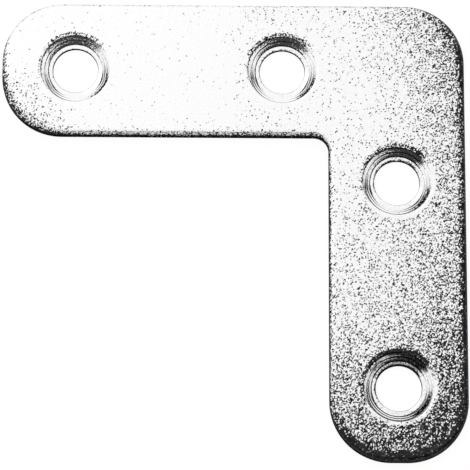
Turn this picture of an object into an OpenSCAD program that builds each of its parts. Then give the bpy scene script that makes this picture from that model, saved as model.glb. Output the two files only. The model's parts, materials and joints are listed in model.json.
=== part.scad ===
// Flat corner brace, blanked from one piece of steel sheet: two equal arms at a right angle,
// each with two countersunk screw holes. The centre lines of the arms cross at the origin, one
// arm runs along -X and the other along -Y. The back lies on Z = 0 and the front, with the
// countersinks and the rolled edge of the blank, faces +Z.

/* [Plate] */
// Overall length of an arm, from the outer edge of the other arm to its own end
arm_len = 50; // [40:0.5:80]
// Width of an arm
arm_w = 14.7; // [13.6:0.1:20]
// Thickness of the sheet
sheet_t = 1.5; // [1.3:0.1:3]

/* [Outline] */
// Radius of the corners at the end of an arm
end_r = 6.5; // [1.5:0.1:7.2]
// Radius of the outer corner, where the arms meet
outer_r = 6.5; // [1.5:0.1:14]
// Radius of the fillet in the inner corner
inner_r = 1.6; // [0.3:0.1:12]

/* [Edges] */
// Radius that the blanking die rolls onto the front edge
front_r = 0.6; // [0.2:0.05:0.9]
// Radius to which the back edge is deburred
back_r = 0.12; // [0.05:0.01:0.4]

/* [Screw holes] */
// Diameter of the bore
bore_d = 4.9; // [3:0.1:6]
// Width of the nearly flat ledge around the bore
ledge_w = 0.45; // [0.2:0.05:1]
// Fall of the ledge from the foot of the cone to the bore
ledge_drop = 0.1; // [0.05:0.01:0.3]
// Width of the countersunk cone, seen from the front
cone_w = 0.9; // [0.3:0.01:1]
// Included angle of the countersunk cone
cone_angle = 90; // [80:1:120]
// Radius that is pressed onto the rim of the countersink
rim_r = 0.35; // [0.1:0.05:0.5]
// Chamfer on the back mouth of the bore
bore_break = 0.1; // [0.05:0.01:0.3]
// Distance from the inner edge of one arm to the nearest hole of the other arm
corner_gap = 5; // [4.5:0.1:12]
// Distance from the end of an arm to its last hole
end_gap = 7.9; // [6:0.1:12]

/* [Hidden] */
$fn = 96;

// Half of an arm's width, and the end of an arm from the origin
half_w = arm_w / 2;
reach = arm_len - half_w;

// Corner radii, each limited by the arm that carries it
least_flat = 0.1;
end_round = min(end_r, half_w - least_flat);
outer_round = min(outer_r, arm_w);

// The edge band: as deep as the larger edge radius and a little sheet behind it
band_land = 0.3;
band_w = max(front_r, back_r) + band_land;

// The holes of the arm along -X
hole_xs = [-(half_w + corner_gap), -(reach - end_gap)];

// Steps of the countersink, from the bore outwards
bore_r = bore_d / 2;
ledge_r = bore_r + ledge_w;
cone_r = ledge_r + cone_w;
half_angle = cone_angle / 2;
cone_foot = sheet_t - cone_w / tan(half_angle);
land_top = cone_foot - ledge_drop;

// Centre of the rim's rounding, which touches both the front face and the cone
rim_x = cone_r + rim_r * (1 - sin(half_angle)) / cos(half_angle);
rim_z = sheet_t - rim_r;

// How far a cutter passes beyond the face that it cuts
over = 1;

// Section of the edge band: the outer wall is at x = 0 and the sheet lies at x < 0
module edge_section() {
    mid = sheet_t / 2;
    translate([-band_w, mid])
        square([band_w - front_r, mid]);
    translate([-band_w, mid])
        square([band_w, mid - front_r]);
    translate([-front_r, sheet_t - front_r])
        circle(front_r);
    translate([-band_w, 0])
        square([band_w - back_r, mid]);
    translate([-band_w, back_r])
        square([band_w, mid - back_r]);
    translate([-back_r, back_r])
        circle(back_r);
}

// Edge band along a straight stretch that starts at p and keeps the sheet on its right
module edge_run(p, heading, length) {
    translate([p[0], p[1], 0])
        rotate([0, 0, heading])
            rotate([90, 0, 90])
                linear_extrude(length)
                    edge_section();
}

// Edge band round a quarter of an outer corner, from the angle start
module edge_turn(centre, radius, start) {
    translate([centre[0], centre[1], 0])
        rotate([0, 0, start])
            rotate_extrude(angle = 90)
                translate([radius, 0])
                    edge_section();
}

// Edge band round a quarter of an inner corner, from the angle start
module edge_hollow(centre, radius, start) {
    translate([centre[0], centre[1], 0])
        rotate([0, 0, start])
            rotate_extrude(angle = 90)
                translate([radius, 0])
                    mirror([1, 0])
                        edge_section();
}

// Edge of the arm along -X: its outer side, its rounded end and its inner side
module arm_edge() {
    end_x = end_round - reach;
    turn_y = half_w - end_round;
    edge_run([end_x, half_w], 0, half_w - outer_round - end_x);
    edge_turn([end_x, turn_y], end_round, 90);
    edge_run([-reach, -turn_y], 90, 2 * turn_y);
    edge_turn([end_x, -turn_y], end_round, 180);
    edge_run([-half_w - inner_r, -half_w], 180, -half_w - inner_r - end_x);
}

// Outline of the sheet inside the edge band of the arm along -X
module arm_core() {
    core_w = arm_w - 2 * band_w;
    round_r = end_round - band_w;
    translate([end_round - reach, -core_w / 2])
        square([reach - end_round + half_w - outer_round, core_w]);
    translate([band_w - reach, end_round - half_w])
        square([round_r, arm_w - 2 * end_round]);
    for (side = [-1, 1])
        translate([end_round - reach, side * (half_w - end_round)])
            circle(round_r);
}

// Outline of the sheet inside the edge band where the arms meet
module corner_core() {
    core_r = inner_r + band_w;
    out = half_w - outer_round;
    fillet = -half_w - inner_r;
    translate([out, out])
        circle(outer_round - band_w);
    difference() {
        translate([fillet, fillet])
            square([out - fillet, out - fillet]);
        translate([fillet, fillet])
            circle(core_r);
    }
}

// The two arms as mirror images about the diagonal of the corner
module both_arms() {
    for (swap = [0, 1])
        mirror([swap, -swap, 0])
            children();
}

// Blank: the sheet, closed by the edge band all the way round
module blank() {
    both_arms()
        arm_edge();
    edge_turn([half_w - outer_round, half_w - outer_round], outer_round, 0);
    edge_hollow([-half_w - inner_r, -half_w - inner_r], inner_r, 0);
    linear_extrude(sheet_t) {
        both_arms()
            arm_core();
        corner_core();
    }
}

// Cutter for one hole: chamfered back mouth, bore, ledge, cone and rounded rim
module hole_cutter() {
    rotate_extrude()
        difference() {
            polygon([
                [0, -over],
                [bore_r + bore_break + over, -over],
                [bore_r, bore_break],
                [bore_r, land_top],
                [ledge_r, cone_foot],
                [rim_x - rim_r * cos(half_angle), rim_z + rim_r * sin(half_angle)],
                [rim_x, rim_z],
                [rim_x, sheet_t + over],
                [0, sheet_t + over]
            ]);
            translate([rim_x, rim_z])
                circle(rim_r);
        }
}

// The brace: the blank with its four countersunk screw holes
module corner_plate() {
    color([0.80, 0.81, 0.82])
        difference() {
            blank();
            both_arms()
                for (x = hole_xs)
                    translate([x, 0, 0])
                        hole_cutter();
        }
}

corner_plate();
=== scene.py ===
"""Finish and studio of a flat corner brace: one blanked steel plate with matte zinc plating.

The plate is modelled again over its solid, with the same outline, edges and countersinks, so
that its rolled edges shade smoothly and its countersinks carry the rings of their tool.
"""
import json
import math

import bmesh
import bpy
from bpy.props import FloatProperty, FloatVectorProperty, PointerProperty
from mathutils import Matrix, Vector


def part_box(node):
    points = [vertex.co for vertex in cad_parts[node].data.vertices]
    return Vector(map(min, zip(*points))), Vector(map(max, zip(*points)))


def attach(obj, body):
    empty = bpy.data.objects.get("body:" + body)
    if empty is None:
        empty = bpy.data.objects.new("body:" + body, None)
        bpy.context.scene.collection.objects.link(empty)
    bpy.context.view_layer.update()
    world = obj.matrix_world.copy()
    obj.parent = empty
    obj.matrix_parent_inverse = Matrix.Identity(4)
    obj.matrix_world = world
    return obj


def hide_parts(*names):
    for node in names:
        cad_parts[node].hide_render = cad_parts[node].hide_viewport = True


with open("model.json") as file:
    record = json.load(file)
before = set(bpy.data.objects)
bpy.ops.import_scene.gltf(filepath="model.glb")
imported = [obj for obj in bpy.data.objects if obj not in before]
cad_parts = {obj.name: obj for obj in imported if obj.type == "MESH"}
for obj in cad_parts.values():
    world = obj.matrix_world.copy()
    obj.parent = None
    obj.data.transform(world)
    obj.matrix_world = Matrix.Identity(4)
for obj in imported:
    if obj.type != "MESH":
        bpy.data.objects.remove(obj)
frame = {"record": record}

bl_info = {
    "name": "Flat Corner Brace",
    "version": (1, 0, 0),
    "blender": (4, 5, 0),
    "location": "View3D > Sidebar > Corner Brace",
    "description": "Builds the plated plate of a flat corner brace and its studio",
    "category": "Add Mesh",
}

NODE = "corner_plate"
MM = 0.001

# The whole plate as it is packed: the arms run from the origin to -X and -Y
LOW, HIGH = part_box(NODE)
HOLES = [m for m in frame["record"]["mounts"] if m["kind"] == "bore"]
HALF_W = HIGH.x
REACH = -LOW.x
SHEET_T = HIGH.z
BORE_R = HOLES[0]["dims"]["r_mm"] * MM

# Steps of each rounding of the mesh
CORNER_STEPS = 28
FRONT_EDGE_STEPS = 8
BACK_EDGE_STEPS = 3
LIP_STEPS = 6
RIM_STEPS = 6
HOLE_STEPS = 128

# Angle between faces above which an edge is still square, and below which it shades smoothly
SQUARE_ABOVE = math.radians(60)
SMOOTH_BELOW = math.radians(20)

# How far a hole cutter passes beyond the face, and its clearance where it leaves the rim
CUTTER_OVER = 1.0 * MM
CUTTER_SIDE = 0.03 * MM
CUTTER_ABOVE = 0.005 * MM

# Places of the tool rings on the cone, as shares of the way from its foot to its rim
RING_SHARES = (0.3, 0.6)

# Width of one grain of the plating
GRAIN_SIZE = 0.13 * MM

# Tone of the brightest plating. At a tone of 1, half of the grains are as bright as they get.
FULL_TONE = 3.42

# How much darker than the face the foot of the blanked wall and the bore are painted.
# On the wall this is partly its dull blanked metal and partly painted shade; in the bore it is
# painted shade.
WALL_DULL_AND_SHADE = 4.0
BORE_SHADE = 6.0

# Spread of the grain's shade in the cut metal of the countersinks
CUT_CONTRAST = 0.5

# Share by which the whole plating is lifted, and the power from even steps of grey to light
LIFT = 1.066
GREY_POWER = 2.2

# Scales of the noise that clouds the plating and of the noise that pits it, per metre
CLOUD_SCALE = 1100.0
PIT_SCALE = 5500.0

# Sides of a countersink: the heading from its axis, and the cosines where the side starts and
# is full. On the first, the far side, the cone is darkened with painted shade; on the second,
# dark lines of painted shade run along its rings; on the third lies a crescent of painted shade.
HOLE_SIDES = (
    ("Far Shade Side", (-0.1, 0.99, 0.0), 0.35, 0.65),
    ("Ring Shade Side", (-0.5, 0.87, 0.0), -0.4, 0.4),
    ("Crescent Shade Side", (0.80, -0.60, 0.0), 0.84, 0.98),
)

# Share of the floor that shows as even white, and the strength of that white. The rest is
# paint, which takes the plate's shadow.
WHITE_SHARE = 0.88
WHITE_STRENGTH = 1.06


class PlateSizes(bpy.types.PropertyGroup):
    """Sizes of the plate that its box and its mounts don't give."""

    end_radius: FloatProperty(
        name="End radius", description="Radius of the corners at the end of an arm",
        default=6.5 * MM, subtype="DISTANCE", unit="LENGTH")
    outer_radius: FloatProperty(
        name="Outer radius", description="Radius of the outer corner where the arms meet",
        default=6.5 * MM, subtype="DISTANCE", unit="LENGTH")
    inner_radius: FloatProperty(
        name="Inner radius", description="Radius of the fillet in the inner corner",
        default=1.6 * MM, subtype="DISTANCE", unit="LENGTH")
    front_radius: FloatProperty(
        name="Front edge", description="Radius rolled onto the front edge by the blanking die",
        default=0.6 * MM, subtype="DISTANCE", unit="LENGTH")
    back_radius: FloatProperty(
        name="Back edge", description="Radius to which the back edge is deburred",
        default=0.12 * MM, subtype="DISTANCE", unit="LENGTH")
    ledge_width: FloatProperty(
        name="Ledge width", description="Width of the nearly flat ledge around the bore",
        default=0.45 * MM, subtype="DISTANCE", unit="LENGTH")
    ledge_drop: FloatProperty(
        name="Ledge fall", description="Fall of the ledge from the foot of the cone to the bore",
        default=0.1 * MM, subtype="DISTANCE", unit="LENGTH")
    cone_width: FloatProperty(
        name="Cone width", description="Width of the countersunk cone, seen from the front",
        default=0.9 * MM, subtype="DISTANCE", unit="LENGTH")
    cone_angle: FloatProperty(
        name="Cone angle", description="Included angle of the countersunk cone",
        default=math.radians(90), subtype="ANGLE", unit="ROTATION")
    rim_radius: FloatProperty(
        name="Rim radius", description="Radius pressed onto the rim of the countersink",
        default=0.35 * MM, subtype="DISTANCE", unit="LENGTH")
    lip_radius: FloatProperty(
        name="Lip radius", description="Radius where the ledge turns down into the bore",
        default=0.1 * MM, subtype="DISTANCE", unit="LENGTH")
    bore_break: FloatProperty(
        name="Bore chamfer", description="Chamfer on the back mouth of the bore",
        default=0.1 * MM, subtype="DISTANCE", unit="LENGTH")
    ring_width: FloatProperty(
        name="Ring width", description="Width of a ring that the countersinking tool leaves",
        default=0.08 * MM, subtype="DISTANCE", unit="LENGTH")
    ring_depth: FloatProperty(
        name="Ring depth", description="Depth of a ring that the countersinking tool leaves",
        default=0.004 * MM, subtype="DISTANCE", unit="LENGTH")


class PlateFinish(bpy.types.PropertyGroup):
    """Colours and grain of the matte zinc plating."""

    light: FloatVectorProperty(
        name="Light grain", description="Colour of the brightest grains of the plating",
        default=(0.96, 0.96, 0.96), subtype="COLOR", min=0, max=1)
    dark: FloatVectorProperty(
        name="Dark grain", description="Colour of the darkest grains of the plating",
        default=(0.012, 0.012, 0.012), subtype="COLOR", min=0, max=1)
    grain_size: FloatProperty(
        name="Grain size", description="Width of one grain of the plating",
        default=GRAIN_SIZE, subtype="DISTANCE", unit="LENGTH", precision=6)
    contrast: FloatProperty(
        name="Grain contrast", description="How far a grain is lighter or darker than the tone",
        default=3.0, min=0, max=6)
    roughness: FloatProperty(
        name="Roughness", description="Roughness of the plating",
        default=0.32, min=0, max=1, subtype="FACTOR")
    tool_roughness: FloatProperty(
        name="Countersink roughness", description="Roughness where the countersink tool has cut",
        default=0.08, min=0, max=1, subtype="FACTOR")


class StudioSettings(bpy.types.PropertyGroup):
    """Camera, floor and light of the studio."""

    azimuth: FloatProperty(
        name="Azimuth", description="Turn of the camera about the plate, from its front",
        default=math.radians(-2.0), subtype="ANGLE", unit="ROTATION")
    elevation: FloatProperty(
        name="Elevation", description="Height of the camera above the floor, as an angle",
        default=math.radians(76.6), subtype="ANGLE", unit="ROTATION")
    roll: FloatProperty(
        name="Roll", description="Turn of the camera about its own line of sight",
        default=math.radians(2.32), subtype="ANGLE", unit="ROTATION")
    distance: FloatProperty(
        name="Distance", description="Distance from the camera to the point that it looks at",
        default=0.29468, subtype="DISTANCE", unit="LENGTH")
    lens: FloatProperty(
        name="Lens", description="Focal length of the camera in millimetres",
        default=210.6, min=1)
    aim: FloatVectorProperty(
        name="Aim", description="Point on the floor that the camera looks at",
        default=(-0.01738, -0.01808, 0.0), subtype="XYZ", unit="LENGTH")
    floor_size: FloatProperty(
        name="Floor size", description="Width of the floor",
        default=3.0, subtype="DISTANCE", unit="LENGTH")
    floor_colour: FloatVectorProperty(
        name="Floor colour", description="Colour of the floor under the light",
        default=(0.85, 0.85, 0.85), subtype="COLOR", min=0, max=1)
    key_place: FloatVectorProperty(
        name="Key lamp place", description="Place of the key lamp",
        default=(-0.20, 0.22, 0.30), subtype="XYZ", unit="LENGTH")
    key_size: FloatProperty(
        name="Key lamp size", description="Width of the square key lamp",
        default=0.22, subtype="DISTANCE", unit="LENGTH")
    key_level: FloatProperty(
        name="Key lamp level", description="Light of the key lamp, where 1 shows as white",
        default=0.6, min=0)
    bright_side: FloatVectorProperty(
        name="Bright side", description="Direction in which the studio is brightest",
        default=(-0.55, 0.50, 0.65), subtype="XYZ")
    bright_level: FloatProperty(
        name="Bright level", description="Light from the bright side, where 1 shows as white",
        default=1.0, min=0)
    dark_level: FloatProperty(
        name="Dark level", description="Light from the dark side, where 1 shows as white",
        default=0.05, min=0)


def mesh_object(name, bm):
    """New object at the origin that holds the mesh of bm, which is freed."""
    mesh = bpy.data.meshes.new(name)
    bm.to_mesh(mesh)
    bm.free()
    obj = bpy.data.objects.new(name, mesh)
    bpy.context.scene.collection.objects.link(obj)
    return obj


def baked_mesh(obj):
    """Replaces the mesh of obj by the result of its modifiers, and clears them."""
    bpy.context.view_layer.update()
    graph = bpy.context.evaluated_depsgraph_get()
    mesh = bpy.data.meshes.new_from_object(obj.evaluated_get(graph))
    obj.modifiers.clear()
    obj.data = mesh


def vertex_near(bm, x, y):
    """The vertex of bm that lies at x, y."""
    return min(bm.verts, key=lambda v: (v.co.xy - Vector((x, y))).length)


def round_corner(bm, x, y, radius, steps):
    """Rounds the corner of a flat outline that lies at x, y."""
    bmesh.ops.bevel(
        bm, geom=[vertex_near(bm, x, y)], offset=radius, offset_type="OFFSET", segments=steps,
        profile=0.5, affect="VERTICES", material=-1, clamp_overlap=False)


def round_loop(bm, front, radius, steps):
    """Rounds the edge that runs round the plate where the wall meets the front or the back."""
    rim = [
        e for e in bm.edges
        if e.calc_face_angle() > SQUARE_ABOVE
        and (sum(v.co.z for v in e.verts) > SHEET_T) == front
        and any(abs(f.normal.z) > 0.5 for f in e.link_faces)]
    bmesh.ops.bevel(
        bm, geom=rim, offset=radius, offset_type="OFFSET", segments=steps,
        profile=0.5, affect="EDGES", material=-1, clamp_overlap=False)


def blank(sizes):
    """The plate before its holes are made."""
    bm = bmesh.new()
    corners = [
        (HALF_W, HALF_W), (-REACH, HALF_W), (-REACH, -HALF_W),
        (-HALF_W, -HALF_W), (-HALF_W, -REACH), (HALF_W, -REACH),
    ]
    bm.faces.new([bm.verts.new((x, y, 0)) for x, y in corners])
    radii = [
        sizes.outer_radius, sizes.end_radius, sizes.end_radius,
        sizes.inner_radius, sizes.end_radius, sizes.end_radius,
    ]
    for (x, y), radius in zip(corners, radii):
        round_corner(bm, x, y, radius, CORNER_STEPS)
    face = bm.faces[:][0]
    raised = bmesh.ops.extrude_face_region(bm, geom=[face])
    top = [g for g in raised["geom"] if isinstance(g, bmesh.types.BMVert)]
    bmesh.ops.translate(bm, vec=(0, 0, SHEET_T), verts=top)
    bmesh.ops.recalc_face_normals(bm, faces=bm.faces)
    round_loop(bm, True, sizes.front_radius, FRONT_EDGE_STEPS)
    round_loop(bm, False, sizes.back_radius, BACK_EDGE_STEPS)
    return mesh_object("plate", bm)


def hole_steps(sizes):
    """Radii of the cone's foot and rim, and heights of its foot and of the ledge at the bore."""
    foot_r = BORE_R + sizes.ledge_width
    foot_z = SHEET_T - sizes.cone_width / math.tan(sizes.cone_angle / 2)
    return foot_r, foot_r + sizes.cone_width, foot_z, foot_z - sizes.ledge_drop


def ring(profile, start, end, share, sizes):
    """Adds one tool ring to a profile, at this share of the way from start to end."""
    start, end = Vector(start), Vector(end)
    along = (end - start).normalized()
    into = Vector((along.y, -along.x))
    middle = start.lerp(end, share)
    half = sizes.ring_width / 2
    profile.append(middle - along * half)
    profile.append(middle + into * sizes.ring_depth)
    profile.append(middle + along * half)


def hole_profile(sizes):
    """Radius and height of the hole's lining, from below the back to above the front."""
    foot_r, cone_r, foot_z, land_z = hole_steps(sizes)
    half_angle = sizes.cone_angle / 2
    rim_r = sizes.rim_radius
    rim_x = cone_r + rim_r * (1 - math.sin(half_angle)) / math.cos(half_angle)
    rim_z = SHEET_T - rim_r
    foot = (foot_r, foot_z)
    cone_end = (rim_x - rim_r * math.cos(half_angle), rim_z + rim_r * math.sin(half_angle))
    profile = [
        Vector((BORE_R + sizes.bore_break + CUTTER_OVER, -CUTTER_OVER)),
        Vector((BORE_R, sizes.bore_break)),
    ]
    lip = sizes.lip_radius
    fall = math.atan2(sizes.ledge_drop, sizes.ledge_width)
    lip_z = land_z + lip * math.tan(fall) - lip / math.cos(fall)
    for i in range(LIP_STEPS + 1):
        turn = math.pi - (math.pi / 2 - fall) * i / LIP_STEPS
        profile.append(Vector((BORE_R + lip + lip * math.cos(turn), lip_z + lip * math.sin(turn))))
    profile.append(Vector(foot))
    for share in RING_SHARES:
        ring(profile, foot, cone_end, share, sizes)
    for i in range(RIM_STEPS + 1):
        turn = math.pi - half_angle - (math.pi / 2 - half_angle) * i / RIM_STEPS
        profile.append(Vector((rim_x + rim_r * math.cos(turn), rim_z + rim_r * math.sin(turn))))
    profile.append(Vector((rim_x + CUTTER_SIDE, SHEET_T + CUTTER_ABOVE)))
    profile.append(Vector((rim_x + CUTTER_SIDE, SHEET_T + CUTTER_OVER)))
    return profile


def hole_cutters(sizes):
    """One mesh with a cutter for each hole."""
    bm = bmesh.new()
    profile = hole_profile(sizes)
    for hole in HOLES:
        x, y, _ = hole["pos_m"]
        verts = [bm.verts.new((x + p.x, y, p.y)) for p in profile]
        edges = [bm.edges.new(pair) for pair in zip(verts, verts[1:])]
        bmesh.ops.spin(
            bm, geom=verts + edges, cent=(x, y, 0), axis=(0, 0, 1), angle=math.tau,
            steps=HOLE_STEPS, use_merge=True)
    bmesh.ops.holes_fill(bm, edges=[e for e in bm.edges if e.is_boundary], sides=0)
    bmesh.ops.recalc_face_normals(bm, faces=bm.faces)
    return mesh_object("hole_cutters", bm)


def drill(plate, cutters):
    """Cuts the holes out of the plate and removes the cutters."""
    cut = plate.modifiers.new("holes", "BOOLEAN")
    cut.operation = "DIFFERENCE"
    cut.solver = "EXACT"
    cut.object = cutters
    baked_mesh(plate)
    bpy.data.objects.remove(cutters)


def shade(plate):
    """Smooth shading with crisp tool edges, and true normals on the flat faces."""
    bm = bmesh.new()
    bm.from_mesh(plate.data)
    for face in bm.faces:
        face.smooth = True
    for edge in bm.edges:
        edge.smooth = len(edge.link_faces) == 2 and edge.calc_face_angle() < SMOOTH_BELOW
    bm.to_mesh(plate.data)
    bm.free()
    even = plate.modifiers.new("even", "WEIGHTED_NORMAL")
    even.keep_sharp = True
    even.weight = 100
    baked_mesh(plate)


def new_group(name, inputs, outputs):
    """Empty shader group with float or vector sockets, given as (name, kind, default)."""
    group = bpy.data.node_groups.new(name, "ShaderNodeTree")
    for in_out, sockets in (("INPUT", inputs), ("OUTPUT", outputs)):
        for label, kind, default in sockets:
            socket = group.interface.new_socket(
                name=label, in_out=in_out, socket_type="NodeSocket" + kind)
            if default is not None:
                socket.default_value = default
    return group, group.nodes.new("NodeGroupInput"), group.nodes.new("NodeGroupOutput")


def add_node(tree, kind, links=None, **settings):
    """New node of a tree. links maps a socket to a value or to the socket that feeds it."""
    node = tree.nodes.new("ShaderNode" + kind)
    for key, value in settings.items():
        setattr(node, key, value)
    for key, value in (links or {}).items():
        if isinstance(value, bpy.types.NodeSocket):
            tree.links.new(value, node.inputs[key])
        else:
            node.inputs[key].default_value = value
    return node


def math_node(tree, operation, a, b=None, clamp=False):
    """Output of a Math node of one or two values or sockets."""
    links = {0: a} if b is None else {0: a, 1: b}
    return add_node(tree, "Math", links, operation=operation, use_clamp=clamp).outputs[0]


def plus(tree, a, b, clamp=False):
    """Sum of two values or sockets."""
    return math_node(tree, "ADD", a, b, clamp)


def minus(tree, a, b):
    """What is left of a when b is taken off."""
    return math_node(tree, "SUBTRACT", a, b)


def times(tree, a, b, clamp=False):
    """Product of two values or sockets."""
    return math_node(tree, "MULTIPLY", a, b, clamp)


def straight(tree, value, base, slope, clamp=False):
    """Straight line: base where value is 0, and slope more for each 1 of value."""
    return plus(tree, times(tree, value, slope), base, clamp)


def vector_node(tree, operation, a, b=None, output="Vector"):
    """Output of a Vector Math node of one or two vectors or sockets."""
    links = {0: a} if b is None else {0: a, 1: b}
    return add_node(tree, "VectorMath", links, operation=operation).outputs[output]


def blend(tree, share, a, b):
    """Value that goes from a to b as share goes from 0 to 1."""
    return add_node(tree, "Mix", {"Factor": share, 2: a, 3: b}, data_type="FLOAT").outputs[0]


def soft_step(tree, value, start, end, amount=1.0):
    """0 up to start and amount from end on, in whichever order they lie, with soft ends."""
    node = add_node(
        tree, "MapRange",
        {"Value": value, "From Min": start, "From Max": end, "To Min": 0.0, "To Max": amount},
        interpolation_type="SMOOTHSTEP")
    return node.outputs["Result"]


def grain_group():
    """Shader group of the grain: a shade from -1 to 1 and a sheen from 0 to 1 for each grain."""
    tree, given, result = new_group(
        "plating_grain",
        [("Vector", "Vector", None), ("Grain Size", "Float", GRAIN_SIZE)],
        [("Shade", "Float", None), ("Sheen", "Float", None)])
    scale = math_node(tree, "DIVIDE", 1.0, given.outputs["Grain Size"])
    cells = add_node(
        tree, "TexVoronoi", {"Vector": given.outputs["Vector"], "Scale": scale},
        voronoi_dimensions="3D", feature="F1")
    parts = add_node(tree, "SeparateColor", {"Color": cells.outputs["Color"]})
    both = plus(tree, parts.outputs["Red"], parts.outputs["Green"])
    tree.links.new(minus(tree, both, 1.0), result.inputs["Shade"])
    tree.links.new(parts.outputs["Blue"], result.inputs["Sheen"])
    return tree


def painted_shade_group(sizes):
    """Shader group of painted shade on the tone, with masks of the blanked wall and of the bore.

    The painted shade darkens it towards the outer corner, down the arm along -Y and along most
    edges.
    """
    tree, given, result = new_group(
        "plating_painted_shade", [("Vector", "Vector", None)],
        [(name, "Float", None) for name in ("Shaded Tone", "Wall", "Bore")])
    place = given.outputs["Vector"]
    parts = add_node(tree, "SeparateXYZ", {"Vector": place})
    x, y, z = parts.outputs["X"], parts.outputs["Y"], parts.outputs["Z"]
    end_r, outer_r = sizes.end_radius, sizes.outer_radius

    # Distances from the outer corner, from the inner corner of the end of the arm along -X, and
    # from the centres of the roundings there
    from_outer, from_end, from_outer_centre, from_end_centre = (
        vector_node(tree, "DISTANCE", place, (px, py, SHEET_T), "Value") for px, py in (
            (HALF_W, HALF_W), (-REACH, -HALF_W),
            (HALF_W - outer_r, HALF_W - outer_r), (end_r - REACH, end_r - HALF_W)))

    # Distance from the flat middle of the end of the arm along -Y, whose corners are rounded
    sideways = minus(tree, math_node(tree, "ABSOLUTE", x), HALF_W - end_r)
    sideways = math_node(tree, "MAXIMUM", sideways, 0.0)
    down = math_node(tree, "MAXIMUM", minus(tree, end_r - REACH, y), 0.0)
    squares = plus(tree, times(tree, sideways, sideways), times(tree, down, down))
    from_foot = math_node(tree, "SQRT", squares)

    at_outer = soft_step(tree, y, 0.0, 2.0 * MM, soft_step(tree, x, 3.0 * MM, 5.5 * MM))
    at_end = soft_step(tree, from_end, 8.0 * MM, 4.0 * MM)
    at_foot = soft_step(tree, y, -37.5 * MM, -41.0 * MM)
    on_x_arm = soft_step(tree, x, -HALF_W, -1.5 * MM - HALF_W)
    on_y_arm = soft_step(
        tree, y, -HALF_W, -1.5 * MM - HALF_W, soft_step(tree, y, -30.0 * MM, -22.0 * MM))

    # Falls of painted shade: what a fall is measured by, where it starts and is full, its depth,
    # and where it is kept
    falls = (
        (x, -20.0 * MM, -15.0 * MM, 0.55, None),
        (x, -5.0 * MM, 13.0 * MM, 1.75, None),
        (y, 0.0, -31.0 * MM, 0.62, None),
        (y, -23.0 * MM, -52.0 * MM, 2.55, None),
        (minus(tree, x, y), -1.0 * MM, 15.0 * MM, 0.42, None),
        (from_outer, 18.0 * MM, 0.0, 1.2, None),
        (from_end, 11.0 * MM, 1.0 * MM, 1.8, None),
        (from_end_centre, end_r - 1.5 * MM, end_r - 0.2 * MM, 1.3, at_end),
        (from_outer_centre, outer_r - 1.5 * MM, outer_r - 0.2 * MM, 1.4, at_outer),
        (from_foot, end_r - 1.4 * MM, end_r - 0.5 * MM, 2.0, at_foot),
        (x, HALF_W - 1.1 * MM, HALF_W - 0.3 * MM, 1.9, None),
        (x, 0.9 * MM - REACH, 0.2 * MM - REACH, 1.9, None),
        (y, 0.9 * MM - HALF_W, 0.3 * MM - HALF_W, 0.85, on_x_arm),
        (x, 0.3 * MM - HALF_W, 0.12 * MM - HALF_W, 0.9, on_y_arm),
    )
    shaded_tone = FULL_TONE
    for measure, start, end, depth, kept in falls:
        fall = soft_step(tree, measure, start, end, depth)
        if kept is not None:
            fall = times(tree, fall, kept)
        shaded_tone = minus(tree, shaded_tone, fall)
    tree.links.new(shaded_tone, result.inputs["Shaded Tone"])

    # The wall mask grows down the rolled edge, and the bore's mask below the ledge
    land_z = hole_steps(sizes)[3]
    wall = soft_step(tree, z, SHEET_T, SHEET_T - sizes.front_radius)
    bore = soft_step(tree, z, land_z + 0.01 * MM, land_z - 0.05 * MM)
    tree.links.new(wall, result.inputs["Wall"])
    tree.links.new(bore, result.inputs["Bore"])
    return tree


def hole_group():
    """Shader group of the place in the nearest hole: distance from its axis, and sides of it."""
    tree, given, result = new_group(
        "hole_place", [("Vector", "Vector", None)],
        [("Distance", "Float", None)] + [(name, "Float", None) for name, *_ in HOLE_SIDES])
    nearest = offset = None
    for hole in HOLES:
        x, y, _ = hole["pos_m"]
        away = vector_node(tree, "SUBTRACT", given.outputs["Vector"], (x, y, 0.0))
        away = vector_node(tree, "MULTIPLY", away, (1.0, 1.0, 0.0))
        length = vector_node(tree, "LENGTH", away, output="Value")
        if nearest is None:
            nearest, offset = length, away
            continue
        closer = math_node(tree, "LESS_THAN", length, nearest)
        offset = add_node(
            tree, "Mix", {0: closer, 4: offset, 5: away}, data_type="VECTOR").outputs[1]
        nearest = math_node(tree, "MINIMUM", nearest, length)
    tree.links.new(nearest, result.inputs["Distance"])
    heading = vector_node(tree, "NORMALIZE", offset)
    for name, side, start, full in HOLE_SIDES:
        along = vector_node(tree, "DOT_PRODUCT", heading, side, "Value")
        tree.links.new(soft_step(tree, along, start, full), result.inputs[name])
    return tree


def flat_level(tree, shaded_tone, hole, cloudy, rim):
    """Plating level outside the countersinks, with painted light and shade: black at 0, white at 1
    and beyond.
    """
    level = plus(tree, shaded_tone["Shaded Tone"], cloudy)
    level = minus(tree, level, times(tree, shaded_tone["Wall"], WALL_DULL_AND_SHADE))
    # Round the rim the plating gets a painted highlight, which turns to painted shade on the ring
    # and far sides
    band = soft_step(tree, hole["Distance"], rim + 0.5 * MM, rim + 0.15 * MM)
    rim_light_and_shade = straight(tree, hole["Ring Shade Side"], base=-2.2, slope=3.2)
    rim_light_and_shade = straight(tree, hole["Far Shade Side"], base=rim_light_and_shade, slope=1.8)
    return minus(tree, level, times(tree, band, rim_light_and_shade))


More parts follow.
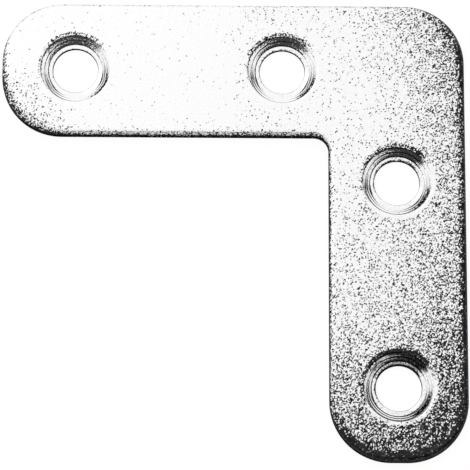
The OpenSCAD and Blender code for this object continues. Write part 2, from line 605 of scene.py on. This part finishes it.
def cut_level(tree, shaded_tone, hole, foot_r, rim):
    """Level of the cut metal in the countersinks with painted shade, and how far grain frays its
    dark lines.
    """
    # The cone gets painted shade on its far side and in its lines, deeper where the tone is low
    cone_shade = straight(tree, shaded_tone["Shaded Tone"], base=0.84, slope=-0.28)
    level = straight(tree, shaded_tone["Shaded Tone"], base=1.12, slope=0.05)
    level = minus(tree, level, times(tree, cone_shade, hole["Far Shade Side"]))
    level = minus(tree, level, times(tree, shaded_tone["Bore"], BORE_SHADE))
    lip_depth = straight(tree, cone_shade, base=0.3, slope=1.3)
    crescent_r = straight(tree, cone_shade, base=rim - 0.2 * MM, slope=-0.3 * MM)
    # Radius of a painted shade line, half of its width, its depth, how far it frays, and its side
    lines = (
        (BORE_R + 0.08 * MM, 0.14 * MM, lip_depth, 0.3, "Ring Shade Side"),
        (foot_r + 0.03 * MM, 0.09 * MM, 1.0, 0.0, "Ring Shade Side"),
        (foot_r + 0.42 * MM, 0.06 * MM, 0.9, 0.0, "Ring Shade Side"),
        (rim - 0.1 * MM, 0.09 * MM, 0.6, 1.4, "Ring Shade Side"),
        (crescent_r, 0.26 * MM, 1.25, 1.0, "Crescent Shade Side"),
    )
    frayed = 0.0
    for middle, half, depth, fray, side in lines:
        away = math_node(tree, "ABSOLUTE", minus(tree, hole["Distance"], middle))
        line = times(tree, soft_step(tree, away, half, half / 3), hole[side])
        level = minus(tree, level, times(tree, line, depth))
        frayed = plus(tree, frayed, times(tree, line, fray))
    return level, frayed


def limited(tree, value, shaded_tone, grain, cloudy):
    """The value with no grain quite white, least where the tone is low, and none quite black."""
    sheen = straight(tree, shaded_tone["Shaded Tone"], base=0.918, slope=0.008)
    uneven = straight(tree, shaded_tone["Shaded Tone"], base=0.16, slope=-0.035)
    uneven = times(tree, uneven, minus(tree, grain["Sheen"], 0.5))
    value = math_node(tree, "MINIMUM", value, plus(tree, sheen, uneven))
    smut = straight(tree, cloudy, base=0.12, slope=0.35)
    smut = plus(tree, smut, soft_step(tree, grain["Shade"], 0.3, 0.8, 0.35))
    smut = times(tree, smut, straight(tree, shaded_tone["Wall"], base=1.0, slope=-0.6))
    return math_node(tree, "MAXIMUM", value, smut)


def pitted_normal(tree, place, shaded_tone, hole, outside):
    """Normal of the fine pits, coarse on the rolled edge and gone from most of a countersink."""
    pits = add_node(
        tree, "TexNoise",
        {"Vector": place, "Scale": PIT_SCALE, "Detail": 1.0, "Roughness": 0.5}).outputs["Fac"]
    plated = times(tree, outside, straight(tree, shaded_tone["Wall"], base=1.0, slope=25.0))
    far_side_pits = straight(tree, shaded_tone["Shaded Tone"], base=-0.2, slope=0.35, clamp=True)
    far_side_pits = times(tree, hole["Far Shade Side"], far_side_pits)
    coarse = math_node(tree, "MAXIMUM", plated, far_side_pits)
    pitted = times(tree, minus(tree, pits, 0.5), coarse)
    bump = add_node(tree, "Bump", {"Height": pitted, "Strength": 0.6, "Distance": 0.05 * MM})
    return bump.outputs["Normal"]


def plating_material(finish, sizes):
    """Matte zinc plating: speckled grain on flats, brighter cut metal in countersinks, painted
    light and shade.
    """
    material = bpy.data.materials.new("zinc_plating")
    material.use_nodes = True
    tree = material.node_tree
    shader = tree.nodes["Principled BSDF"]
    shader.inputs["Specular IOR Level"].default_value = 0.0
    place = add_node(tree, "TexCoord").outputs["Object"]
    grain = add_node(
        tree, "Group", {"Vector": place, "Grain Size": finish.grain_size},
        node_tree=grain_group()).outputs
    shaded_tone = add_node(tree, "Group", {"Vector": place}, node_tree=painted_shade_group(sizes)).outputs
    hole = add_node(tree, "Group", {"Vector": place}, node_tree=hole_group()).outputs
    clouds = add_node(
        tree, "TexNoise",
        {"Vector": place, "Scale": CLOUD_SCALE, "Detail": 2.0, "Roughness": 0.6}).outputs["Fac"]
    cloudy = straight(tree, clouds, base=-0.4, slope=0.8)

    # The countersinks are smooth cut metal, with a level and a spread of their own
    foot_r, rim, _, _ = hole_steps(sizes)
    outside = soft_step(tree, hole["Distance"], rim - 0.1 * MM, rim + 0.15 * MM)
    cuts, frayed = cut_level(tree, shaded_tone, hole, foot_r, rim)
    level = blend(tree, outside, cuts, flat_level(tree, shaded_tone, hole, cloudy, rim))
    spread = blend(tree, outside, plus(tree, frayed, CUT_CONTRAST), finish.contrast)
    value = plus(tree, level, times(tree, grain["Shade"], spread), clamp=True)
    value = limited(tree, value, shaded_tone, grain, cloudy)
    value = times(tree, value, LIFT, clamp=True)
    colour = add_node(
        tree, "Mix",
        {"Factor": math_node(tree, "POWER", value, GREY_POWER),
         6: (*finish.dark, 1.0), 7: (*finish.light, 1.0)}, data_type="RGBA").outputs[2]
    tree.links.new(colour, shader.inputs["Base Color"])

    # The blanked wall and the bore are dull, and darkened with painted shade; they don't mirror as
    # the plating does
    bare = blend(tree, outside, shaded_tone["Bore"], shaded_tone["Wall"])
    metal = add_node(
        tree, "MapRange", {"Value": bare, "From Min": 0.25, "To Min": 1.0, "To Max": 0.0})
    tree.links.new(metal.outputs["Result"], shader.inputs["Metallic"])
    rough = blend(tree, outside, finish.tool_roughness, finish.roughness)
    tree.links.new(rough, shader.inputs["Roughness"])
    normal = pitted_normal(tree, place, shaded_tone, hole, outside)
    tree.links.new(normal, shader.inputs["Normal"])
    return material


class PlateOperator(bpy.types.Operator):
    """Adds the plated plate over its solid"""

    bl_idname = "corner_brace.add_plate"
    bl_label = "Add Plate"

    def execute(self, context):
        sizes = context.scene.brace_sizes
        plate = blank(sizes)
        drill(plate, hole_cutters(sizes))
        shade(plate)
        plate.data.materials.clear()
        plate.data.materials.append(plating_material(context.scene.brace_finish, sizes))
        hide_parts(NODE)
        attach(plate, "root")
        return {"FINISHED"}


def lamp(name, place, aim, size, radiance):
    """Adds a square area lamp of an even radiance, where 1 lights as a white card would show."""
    data = bpy.data.lights.new(name, "AREA")
    data.shape = "SQUARE"
    data.size = size
    data.energy = radiance * math.pi * size * size
    obj = bpy.data.objects.new(name, data)
    bpy.context.scene.collection.objects.link(obj)
    obj.location = place
    obj.rotation_euler = (Vector(aim) - Vector(place)).to_track_quat("-Z", "Y").to_euler()


def floor_material(colour):
    """Pale floor that shows as white, also in the metal, and keeps the plate's soft shadow."""
    material = bpy.data.materials.new("floor_white")
    material.use_nodes = True
    tree = material.node_tree
    tree.nodes.remove(tree.nodes["Principled BSDF"])
    output = tree.nodes["Material Output"]
    path = add_node(tree, "LightPath")
    seen = math_node(tree, "MAXIMUM", path.outputs["Is Camera Ray"], path.outputs["Is Glossy Ray"])
    seen = math_node(tree, "MAXIMUM", seen, path.outputs["Is Transmission Ray"])
    paint = add_node(tree, "BsdfDiffuse", {"Color": (*colour, 1.0)}).outputs["BSDF"]
    white = add_node(
        tree, "Emission",
        {"Color": (1, 1, 1, 1), "Strength": WHITE_STRENGTH}).outputs["Emission"]
    share = times(tree, seen, WHITE_SHARE)
    both = add_node(tree, "MixShader", {0: share, 1: paint, 2: white}).outputs["Shader"]
    tree.links.new(both, output.inputs["Surface"])
    return material


class StudioOperator(bpy.types.Operator):
    """Adds the floor, the light and the camera"""

    bl_idname = "corner_brace.add_studio"
    bl_label = "Add Studio"

    def execute(self, context):
        scene = context.scene
        studio = scene.brace_studio
        self.add_floor(studio)
        self.add_light(scene, studio)
        self.add_camera(scene, studio)
        scene.view_settings.view_transform = "Standard"
        return {"FINISHED"}

    def add_floor(self, studio):
        bm = bmesh.new()
        bmesh.ops.create_grid(bm, x_segments=1, y_segments=1, size=studio.floor_size / 2)
        floor = mesh_object("floor", bm)
        floor.data.materials.append(floor_material(studio.floor_colour))

    def add_light(self, scene, studio):
        lamp("key_lamp", studio.key_place, studio.aim, studio.key_size, studio.key_level)
        world = bpy.data.worlds.new("studio_world")
        world.use_nodes = True
        tree = world.node_tree
        way = add_node(tree, "TexCoord").outputs["Generated"]
        parts = add_node(tree, "SeparateXYZ", {"Vector": way})
        x, y, z = parts.outputs["X"], parts.outputs["Y"], parts.outputs["Z"]
        # The light comes from the half towards the bright side, but not from low down at -Y
        facing = vector_node(tree, "DOT_PRODUCT", way, studio.bright_side, "Value")
        lit = soft_step(tree, facing, 0.0, 0.25)
        lit = times(tree, lit, soft_step(tree, plus(tree, y, z), -0.35, -0.2))
        level = blend(tree, lit, studio.dark_level, studio.bright_level)
        # Near the horizon the world is as bright as the floor, a little higher up towards +X
        height = minus(tree, z, times(tree, x, 0.15))
        horizon = soft_step(tree, height, 0.11, 0.03, studio.bright_level)
        level = math_node(tree, "MAXIMUM", level, horizon)
        seen = add_node(tree, "LightPath").outputs["Is Camera Ray"]
        strength = blend(tree, seen, level, 1.0)
        tree.nodes["Background"].inputs["Color"].default_value = (1, 1, 1, 1)
        tree.links.new(strength, tree.nodes["Background"].inputs["Strength"])
        scene.world = world

    def add_camera(self, scene, studio):
        data = bpy.data.cameras.new("camera")
        data.lens = studio.lens
        data.clip_start = 0.01
        camera = bpy.data.objects.new("camera", data)
        scene.collection.objects.link(camera)
        turn = Matrix.Rotation(studio.azimuth, 4, "Z")
        tilt = Matrix.Rotation(math.pi / 2 - studio.elevation, 4, "X")
        roll = Matrix.Rotation(studio.roll, 4, "Z")
        back = Matrix.Translation((0, 0, studio.distance))
        camera.matrix_world = Matrix.Translation(studio.aim) @ turn @ tilt @ roll @ back
        scene.camera = camera


class BracePanel(bpy.types.Panel):
    """Sizes, finish and studio of the corner brace"""

    bl_idname = "VIEW3D_PT_corner_brace"
    bl_label = "Corner Brace"
    bl_space_type = "VIEW_3D"
    bl_region_type = "UI"
    bl_category = "Corner Brace"

    def draw(self, context):
        layout = self.layout
        for operator, settings in (
                (StudioOperator, context.scene.brace_studio),
                (PlateOperator, context.scene.brace_sizes),
                (None, context.scene.brace_finish)):
            if operator:
                layout.operator(operator.bl_idname)
            for name in settings.__annotations__:
                layout.prop(settings, name)


CLASSES = (PlateSizes, PlateFinish, StudioSettings, PlateOperator, StudioOperator, BracePanel)


def register():
    for cls in CLASSES:
        bpy.utils.register_class(cls)
    bpy.types.Scene.brace_sizes = PointerProperty(type=PlateSizes)
    bpy.types.Scene.brace_finish = PointerProperty(type=PlateFinish)
    bpy.types.Scene.brace_studio = PointerProperty(type=StudioSettings)


def unregister():
    del bpy.types.Scene.brace_sizes
    del bpy.types.Scene.brace_finish
    del bpy.types.Scene.brace_studio
    for cls in reversed(CLASSES):
        bpy.utils.unregister_class(cls)


def main():
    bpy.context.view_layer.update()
    register()
    bpy.ops.corner_brace.add_studio()
    bpy.ops.corner_brace.add_plate()


if __name__ == "__main__":
    main()
